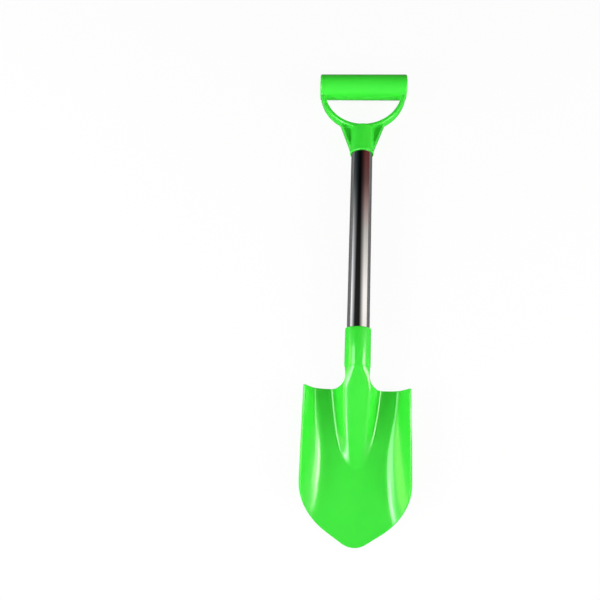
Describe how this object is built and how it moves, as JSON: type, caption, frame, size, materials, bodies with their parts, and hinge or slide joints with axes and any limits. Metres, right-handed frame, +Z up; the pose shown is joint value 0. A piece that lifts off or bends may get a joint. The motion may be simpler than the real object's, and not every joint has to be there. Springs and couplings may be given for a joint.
{
  "type": "sand shovel",
  "caption": "Child's sand shovel: a moulded round-point scoop with a raised ridge and a moulded D handle, joined by a polished steel tube.",
  "frame": {"origin": "middle of the shovel's length and width, on the surface that it lies on", "axes": "+X across the scoop, +Y from the scoop's tip to the grip bar, +Z up out of the scoop"},
  "size_m": [0.088, 0.415, 0.023],
  "materials": {
    "green_plastic": "glossy injection-moulded polypropylene, lime green",
    "steel_tube": "polished stainless steel tube",
    "steel_screw": "plain stainless countersunk screw"
  },
  "bodies": {
    "root": {"blade": "green_plastic", "shaft": "steel_tube", "handle": "green_plastic", "blade_screw": "steel_screw", "handle_screw": "steel_screw"}
  },
  "joints": []
}
